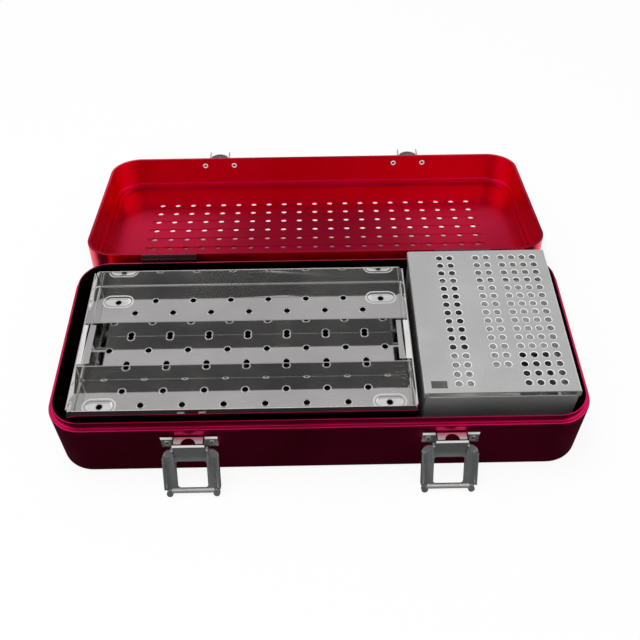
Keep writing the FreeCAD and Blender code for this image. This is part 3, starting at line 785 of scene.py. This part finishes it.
def prism(bm, section, start, end, along):
    """A closed prism: section points are pairs, and along places a pair at a distance."""
    ends = [[bm.verts.new(HANGING @ (Vector(along(pair, d)) * MM)) for pair in section] for d in (start, end)]
    count = len(section)
    for k in range(count):
        n = (k + 1) % count
        bm.faces.new((ends[0][k], ends[0][n], ends[1][n], ends[1][k]))
    bm.faces.new(list(reversed(ends[0])))
    bm.faces.new(ends[1])


def cove_section(middle, s):
    """A hollow quarter in the corner between the lever's face and one flange, as pairs of x and y."""
    inner = FLANGE_INSIDE - ROLL
    curve = [(middle + s * (inner + ROLL * math.sin(a)), SEAT_Y + COVE_RISE * (1 - math.cos(a))) for a in QUARTER]
    return curve + [(middle + s * FLANGE_INSIDE, SEAT_Y)]


CROWN_SECTION = [
    (SEAT_Y + CROWN_RISE * math.sin(2 * a), CROWN_Z - CROWN_HALF_WIDTH * math.cos(2 * a)) for a in QUARTER
]
for side, middle in zip(SIDES, LATCH_XS):
    bm = bmesh.new()
    for s in (-1, 1):
        prism(bm, cove_section(middle, s), COVE_START, COVE_END, lambda pair, d: (*pair, d))
    sides_end = len(bm.faces)
    prism(bm, CROWN_SECTION, middle - CROWN_REACH, middle + CROWN_REACH, lambda pair, d: (d, *pair))
    bm.faces.ensure_lookup_table()
    # Painted highlight: the crown's faces take the paler satin steel.
    for face in bm.faces[sides_end:]:
        face.material_index = 1
    bmesh.ops.recalc_face_normals(bm, faces=bm.faces)
    rolled = linked(f"{side}_lever_rolled_sides", to_mesh(bm, f"{side}_lever_rolled_sides"))
    rolled.data.materials.append(spring)
    rolled.data.materials.append(satin)
    settled(rolled, f"{side}_lever")

# %% [markdown]
# ## The rack's cover
# Satin sheet with eight columns of sixteen screw holes. The third and fourth columns stop two rows short at the
# front. The same punching tree cuts them, and a pale ring just inside each hole stands for its turned edge; its
# white is a painted highlight.

# %% Rack holes and rims
RACK_ROW, RACK_ROWS, RACK_CENTRE_Y = 10.3, 16, 3.0
RACK_COLUMNS = (120.55, 130.85, 156.35, 166.65, 181.15, 191.45, 201.75, 212.05)
SHORT_COLUMNS, MISSING_ROWS = (2, 3), 2
RACK_TOP_Z, COVER_MID_SHEET = 89.0, 0.6
COVER_HOLE_RADIUS, COVER_RIM_RADIUS, COVER_RIM_WIRE, COVER_RIM_LIFT = 3.68, 3.55, 0.5, 0.1
rack_holes = []
for k, x in enumerate(RACK_COLUMNS):
    for row in range(MISSING_ROWS if k in SHORT_COLUMNS else 0, RACK_ROWS):
        y = RACK_CENTRE_Y + (row - (RACK_ROWS - 1) / 2) * RACK_ROW
        rack_holes.append(Vector((x, y, RACK_TOP_Z - COVER_MID_SHEET)) * MM)
cover_sheet = perforated("cover_sheet", "rack_cover", rack_holes, COVER_HOLE_RADIUS, LEVEL, satin)
settled(cover_sheet, "rack_cover", ("rack_cover",))
# Painted highlight: the rims are pale white.
rings("cover_hole_rims", moved(rack_holes, 0, 0, COVER_RIM_LIFT), COVER_RIM_RADIUS, COVER_RIM_WIRE, LEVEL,
      pale_painted_highlight, "rack_cover")

# %% [markdown]
# The plate inside the rack holds the screws. It is left open under the left pair of columns and under the front
# of the right block, where one looks straight down into the dark; elsewhere its pale white is a painted highlight.
# A Boolean with two plain blocks does that, each given by its left, right, front and rear.

# %% Screw plate with its openings
PLATE_WINDOWS = ((96.0, 145.0, -4.0, 84.0), (184.0, 219.0, -79.0, -4.0))
WINDOW_Z, WINDOW_HEIGHT = 48.0, 8.0
plate = linked("screw_plate_sheet", to_mesh(flat_faces_joined(merged("rack_screw_plate")), "screw_plate_sheet"))
bm = bmesh.new()
for x0, x1, y0, y1 in PLATE_WINDOWS:
    for v in bmesh.ops.create_cube(bm, size=1.0)["verts"]:
        x, y = (x0 + x1) / 2 + v.co.x * (x1 - x0), (y0 + y1) / 2 + v.co.y * (y1 - y0)
        v.co = Vector((x, y, WINDOW_Z + v.co.z * WINDOW_HEIGHT)) * MM
cutter = linked("plate_windows", to_mesh(bm, "plate_windows"))
opening = plate.modifiers.new("windows", "BOOLEAN")
opening.object = cutter
opening.solver = "EXACT"
made_plain(plate)
bpy.data.objects.remove(cutter)
plate.data.materials.clear()
# Painted highlight: the plate is pale white where the real one is bright metal.
plate.data.materials.append(pale_painted_highlight)
settled(evenly_shaded(plate), "rack", ("rack_screw_plate",))

# %% [markdown]
# ## Rivets
# Aluminium rivets hold the latch brackets, the catches and the hinge leaves. Their heads lie on the steel, and
# the catches' tubular tails show inside the lid as bright rings round a dark bore: the rings' white is a painted
# highlight, and the bore's black is a painted shade, as is the dark dimple on each latch rivet. Each group is one
# mesh from one tree, because identical fasteners that move together are one piece to whoever uses the model.

# %% Rivets of the latches
FRONT, BACK = (math.radians(90), 0, 0), (math.radians(-90), 0, 0)
PAIR, THREE = (-1, 1), (-1, 0, 1)
WALL_Y = 103.2
LATCH_RIVET_SPREAD, LATCH_RIVET_Z, DIMPLE_FORWARD = 19.5, 48.5, 0.55
# Each head is a radius in millimetres and a rise, as a share of that radius.
LATCH_HEAD, LATCH_DIMPLE = (2.7, 0.3), (1.3, 0.3)


def in_a_row(middles, steps, spacing, y, z):
    """Places beside each middle, at the given steps along X."""
    return [Vector((x + s * spacing, y, z)) * MM for x in middles for s in steps]


latch_points = in_a_row(LATCH_XS, PAIR, LATCH_RIVET_SPREAD, -WALL_Y, LATCH_RIVET_Z)
rivet_heads("latch_rivets", latch_points, *LATCH_HEAD, FRONT, bright, "base", "steel")
dimple_points = moved(latch_points, 0, -DIMPLE_FORWARD, 0)
# Painted shade: a dark dome in the middle of each latch rivet head.
rivet_heads("latch_rivet_dimples", dimple_points, *LATCH_DIMPLE, FRONT, dark_bore, "base", "steel")

# %% Rivets of the catches, carried over with the lid
CATCH_RIVET_SPREAD, CATCH_RIVET_Z, LID_INSIDE_Y = 17.5, 75.8, 100.5
CATCH_HEAD, CATCH_BORE = (2.8, 0.4), (1.6, 0.2)
CATCH_TAIL_RADIUS, CATCH_TAIL_WIRE = 2.3, 0.95
lid_front = (FRONT[0] - LID_TURN, 0, 0)
catch_points = [OPENED @ p for p in in_a_row(LATCH_XS, PAIR, CATCH_RIVET_SPREAD, -WALL_Y, CATCH_RIVET_Z)]
rivet_heads("catch_rivets", catch_points, *CATCH_HEAD, lid_front, bright, "lid", "steel")
tail_points = [OPENED @ p for p in in_a_row(LATCH_XS, PAIR, CATCH_RIVET_SPREAD, -LID_INSIDE_Y, CATCH_RIVET_Z)]
# Painted highlight on the tails' white rings, and painted shade on the dark bores below.
rings("catch_rivet_tails", tail_points, CATCH_TAIL_RADIUS, CATCH_TAIL_WIRE, lid_front, pale_painted_highlight, "lid")
rivet_heads("catch_rivet_bores", tail_points, *CATCH_BORE, lid_front, dark_bore, "lid", "steel")

# %% Rivets of the hinges
HINGE_RIVET_SPREAD, BASE_LEAF_Z, LID_LEAF_Z, HINGE_HEAD = 19, 50.0, 86.5, (2.6, 0.4)
base_leaf = in_a_row(HINGE_XS, THREE, HINGE_RIVET_SPREAD, WALL_Y, BASE_LEAF_Z)
rivet_heads("hinge_rivets_base", base_leaf, *HINGE_HEAD, BACK, bright, "base", "steel")
lid_leaf = [OPENED @ p for p in in_a_row(HINGE_XS, THREE, HINGE_RIVET_SPREAD, WALL_Y, LID_LEAF_Z)]
lid_back = (BACK[0] - LID_TURN, 0, 0)
rivet_heads("hinge_rivets_lid", lid_leaf, *HINGE_HEAD, lid_back, bright, "lid", "steel")

# %% [markdown]
# ## The floor
# The floor is white paper. Seen directly or in metal it glows at strength 1, which is white, and keeps a share of
# its real shading, so that the case still has a soft shadow. Light Path tells those rays from the ones that
# carry light. Under the hinge half of the lid all of the shading is kept, so that its holes there look into real
# shade. Distances are in metres from here on.

# %% Floor
FLOOR_Z, FLOOR_HALF, SHADOW_KEPT = -0.0002, 6, 0.1
UNDER_LID_START, UNDER_LID_FADE, UNDER_LID_SIDES = (0.09, 0.10), (0.203, 0.226), (0.22, 0.27)


def light_only(name, colour, strength):
    """A plain glowing colour."""
    mat = bpy.data.materials.new(name)
    mat.use_nodes = True
    tree = mat.node_tree
    tree.nodes.remove(tree.nodes["Principled BSDF"])
    glow = tree.nodes.new("ShaderNodeEmission")
    glow.inputs["Color"].default_value = (*colour, 1)
    glow.inputs["Strength"].default_value = strength
    tree.links.new(glow.outputs[0], tree.nodes["Material Output"].inputs["Surface"])
    return mat


def seen_rays(tree):
    """One for rays from the camera, from metal and through glass, and zero for rays that carry light."""
    path = tree.nodes.new("ShaderNodeLightPath")
    seen = math_node(tree, "MAXIMUM", path.outputs["Is Camera Ray"], path.outputs["Is Glossy Ray"])
    return math_node(tree, "MAXIMUM", seen, path.outputs["Is Transmission Ray"])


def paper(name, shadow_kept):
    """White paper that keeps a share of its shading, and all of it under the hinge half of the lid."""
    mat = bpy.data.materials.new(name)
    mat.use_nodes = True
    tree = mat.node_tree
    shader = tree.nodes["Principled BSDF"]
    shader.inputs["Base Color"].default_value = (0.86, 0.86, 0.86, 1)
    shader.inputs["Roughness"].default_value = 0.9
    glow = tree.nodes.new("ShaderNodeEmission")
    spot = tree.nodes.new("ShaderNodeSeparateXYZ")
    tree.links.new(tree.nodes.new("ShaderNodeTexCoord").outputs["Object"], spot.inputs[0])
    beside = math_node(tree, "ABSOLUTE", spot.outputs["X"])
    under = spread(tree, beside, *UNDER_LID_SIDES, 1, 0)
    under = math_node(tree, "MULTIPLY", under, spread(tree, spot.outputs["Y"], *UNDER_LID_FADE, 1, 0))
    under = math_node(tree, "MULTIPLY", under, spread(tree, spot.outputs["Y"], *UNDER_LID_START, 0, 1))
    open_floor = math_node(tree, "SUBTRACT", 1.0, under)
    white = math_node(tree, "MULTIPLY", seen_rays(tree), 1 - shadow_kept)
    mix = tree.nodes.new("ShaderNodeMixShader")
    tree.links.new(math_node(tree, "MULTIPLY", white, open_floor), mix.inputs[0])
    tree.links.new(shader.outputs[0], mix.inputs[1])
    tree.links.new(glow.outputs[0], mix.inputs[2])
    tree.links.new(mix.outputs[0], tree.nodes["Material Output"].inputs["Surface"])
    return mat


def card(name, corners, material, everywhere=False):
    """A flat four-cornered sheet, which only glossy rays see unless it shows everywhere."""
    mesh = bpy.data.meshes.new(name)
    mesh.from_pydata(corners, [], [(0, 1, 2, 3)])
    obj = linked(name, mesh)
    obj.data.materials.append(material)
    if not everywhere:
        obj.visible_camera = False
        obj.visible_diffuse = False
        obj.visible_shadow = False
        obj.visible_transmission = False
    obj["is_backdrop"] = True
    return obj


corners = [(x * FLOOR_HALF, y * FLOOR_HALF, FLOOR_Z) for x, y in ((-1, -1), (1, -1), (1, 1), (-1, 1))]
card("studio_floor", corners, paper("white_paper", SHADOW_KEPT), everywhere=True)
print("floor at", FLOOR_Z, "m, share of shading kept", SHADOW_KEPT)

# %% [markdown]
# ## Cards
# Polished metal shows its surroundings more than its own colour, so the surroundings are built from cards that
# only reflections see, as flags and bounce boards are used in a product studio. Black flags on the floor darken
# the case's walls. Behind the case a low row of cards, bright at both sides and dark in the middle, is what the
# lid's floor reflects, and the grey one above it what the tray's floor and the rack's cover reflect. A dim card
# hangs over the case for its shoulder, and another stands at the camera for the dividers.

# %% Card helpers
GREYS = {"black": 0.022, "dim": 0.07, "low": 0.2, "back": 0.45, "top": 0.17, "glow": 1.0}
greys = {name: light_only(name + "_card", (v, v * 0.97, v), 1.0) for name, v in GREYS.items()}
FLAG_Z = 0.0003


def floor_card(name, x0, x1, y0, y1):
    """A black card flat on the floor."""
    card(name, [(x0, y0, FLAG_Z), (x1, y0, FLAG_Z), (x1, y1, FLAG_Z), (x0, y1, FLAG_Z)], greys["black"])


def wide_card(name, x0, x1, low, high, grey):
    """A card across the studio from a low edge (y, z) to a high edge (y, z)."""
    card(name, [(x0, *low), (x1, *low), (x1, *high), (x0, *high)], greys[grey])


# %% Cards in front, beside and above
CASE_SIDE, FLAG_FRONT, FLAG_REAR = 0.23, -0.09, 0.11
floor_card("front_flag", -1.3, 1.3, -2.6, FLAG_FRONT)
floor_card("left_flag", -0.9, -CASE_SIDE, FLAG_FRONT, FLAG_REAR)
floor_card("right_flag", CASE_SIDE, 0.9, FLAG_FRONT, FLAG_REAR)
wide_card("camera_flag", -0.52, 0.24, (-0.62, 0.66), (-0.62, 0.97), "dim")
wide_card("front_card", -2.4, 2.4, (-2.7, 0.0), (-2.7, 1.6), "top")
wide_card("rear_card", -1.6, 1.6, (1.5, 1.05), (0.7, 1.9), "back")

# %% The low row behind the case, from left to right
ROW_LOW, ROW_MIDDLE, ROW_HIGH = (2.2, 0.25), (1.77, 0.76), (1.52, 1.06)
ROW_XS = (-2.4, -0.85, -0.30, 0.32, 0.70, 2.4)
far_left, left, near_left, near_right, right, far_right = ROW_XS
wide_card("low_rear_card", near_left, near_right, ROW_LOW, ROW_MIDDLE, "low")
wide_card("middle_rear_card", near_left, near_right, ROW_MIDDLE, ROW_HIGH, "dim")
for name, x0, x1 in (("left_low", left, near_left), ("right_low", near_right, right)):
    wide_card(name + "_glow_card", x0, x1, ROW_LOW, ROW_MIDDLE, "glow")
    wide_card(name + "_card", x0, x1, ROW_MIDDLE, ROW_HIGH, "dim")
wide_card("left_rear_card", far_left, left, ROW_LOW, ROW_HIGH, "black")
wide_card("right_rear_card", right, far_right, ROW_LOW, ROW_HIGH, "black")
wide_card("top_card", -1.6, 1.6, (0.62, 2.0), (-1.15, 2.0), "top")

# %% [markdown]
# ## World and lamps
# The room is white where it is seen and weaker where it only lights, so that pale steel keeps its tone. One wide
# lamp above gives soft shadows. It is hidden from reflections, because its outline would show in the mirrors.

# %% World and lamps
ROOM_FILL, LAMP_WATTS = 0.55, 26
world = bpy.data.worlds.new("white_room")
scene.world = world
world.use_nodes = True
tree = world.node_tree
ground = tree.nodes["Background"]
tree.links.new(spread(tree, seen_rays(tree), 0, 1, ROOM_FILL, 1.0), ground.inputs["Strength"])
ground.inputs["Color"].default_value = (1, 1, 1, 1)


def softbox(name, place, aim, size, power):
    """A rectangular area lamp, aimed at a point and hidden from reflections."""
    data = bpy.data.lights.new(name, "AREA")
    data.shape = "RECTANGLE"
    data.size, data.size_y = size
    data.energy = power
    lamp = bpy.data.objects.new(name, data)
    scene.collection.objects.link(lamp)
    lamp.location = place
    lamp.rotation_euler = (Vector(aim) - Vector(place)).to_track_quat("-Z", "Y").to_euler()
    lamp.visible_glossy = False
    return lamp


softbox("overhead_softbox", (-0.3, -0.1, 1.9), (0, 0.05, 0), (1.4, 1.0), LAMP_WATTS)
print("world fill", ROOM_FILL, "lamp", LAMP_WATTS, "W")

# %% [markdown]
# ## The camera
# The camera was worked out from the drawing: the picture's outline and hole grids give its place, its turn and
# its lens. The small shift stands for the picture's centre lying a little off the lens's axis. The camera's own
# axes are built from pitch, yaw and roll, and set as the columns of its matrix.

# %% Camera
CAMERA_PLACE = Vector((-5.26, -496.43, 651.64)) * MM
PITCH, YAW, ROLL_ANGLE = math.radians(50.386), math.radians(0.470), math.radians(0.612)
FOCAL_PIXELS, CENTRE_PIXELS, FRAME_PIXELS = 815.0, (-3.12, 27.22), 640.0
ahead = Vector((math.sin(YAW) * math.cos(PITCH), math.cos(YAW) * math.cos(PITCH), -math.sin(PITCH)))
level = Vector((math.cos(YAW), -math.sin(YAW), 0))
down = ahead.cross(level)
across = math.cos(ROLL_ANGLE) * level + math.sin(ROLL_ANGLE) * down
below = -math.sin(ROLL_ANGLE) * level + math.cos(ROLL_ANGLE) * down
lens = bpy.data.cameras.new("camera")
lens.sensor_width = 36.0
lens.lens = FOCAL_PIXELS * lens.sensor_width / FRAME_PIXELS
lens.shift_x = -CENTRE_PIXELS[0] / FRAME_PIXELS
lens.shift_y = CENTRE_PIXELS[1] / FRAME_PIXELS
lens.clip_start = 0.01
camera = bpy.data.objects.new("camera", lens)
scene.collection.objects.link(camera)
turned = Matrix((across, -below, -ahead)).transposed()
camera.matrix_world = Matrix.Translation(CAMERA_PLACE) @ turned.to_4x4()
scene.camera = camera
scene.view_settings.view_transform = "Standard"
print("lens", round(lens.lens, 2), "mm, place", [round(v, 3) for v in CAMERA_PLACE])

# %% [markdown]
# ## Closing
# The dressed part's box is measured, and both it and the drawing's box are printed.

# %% Sizes
dressed_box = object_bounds()
for title, box in (("CAD", cad_box), ("dressed", dressed_box)):
    print(title, "box", [[round(c, 4) for c in corner] for corner in box])
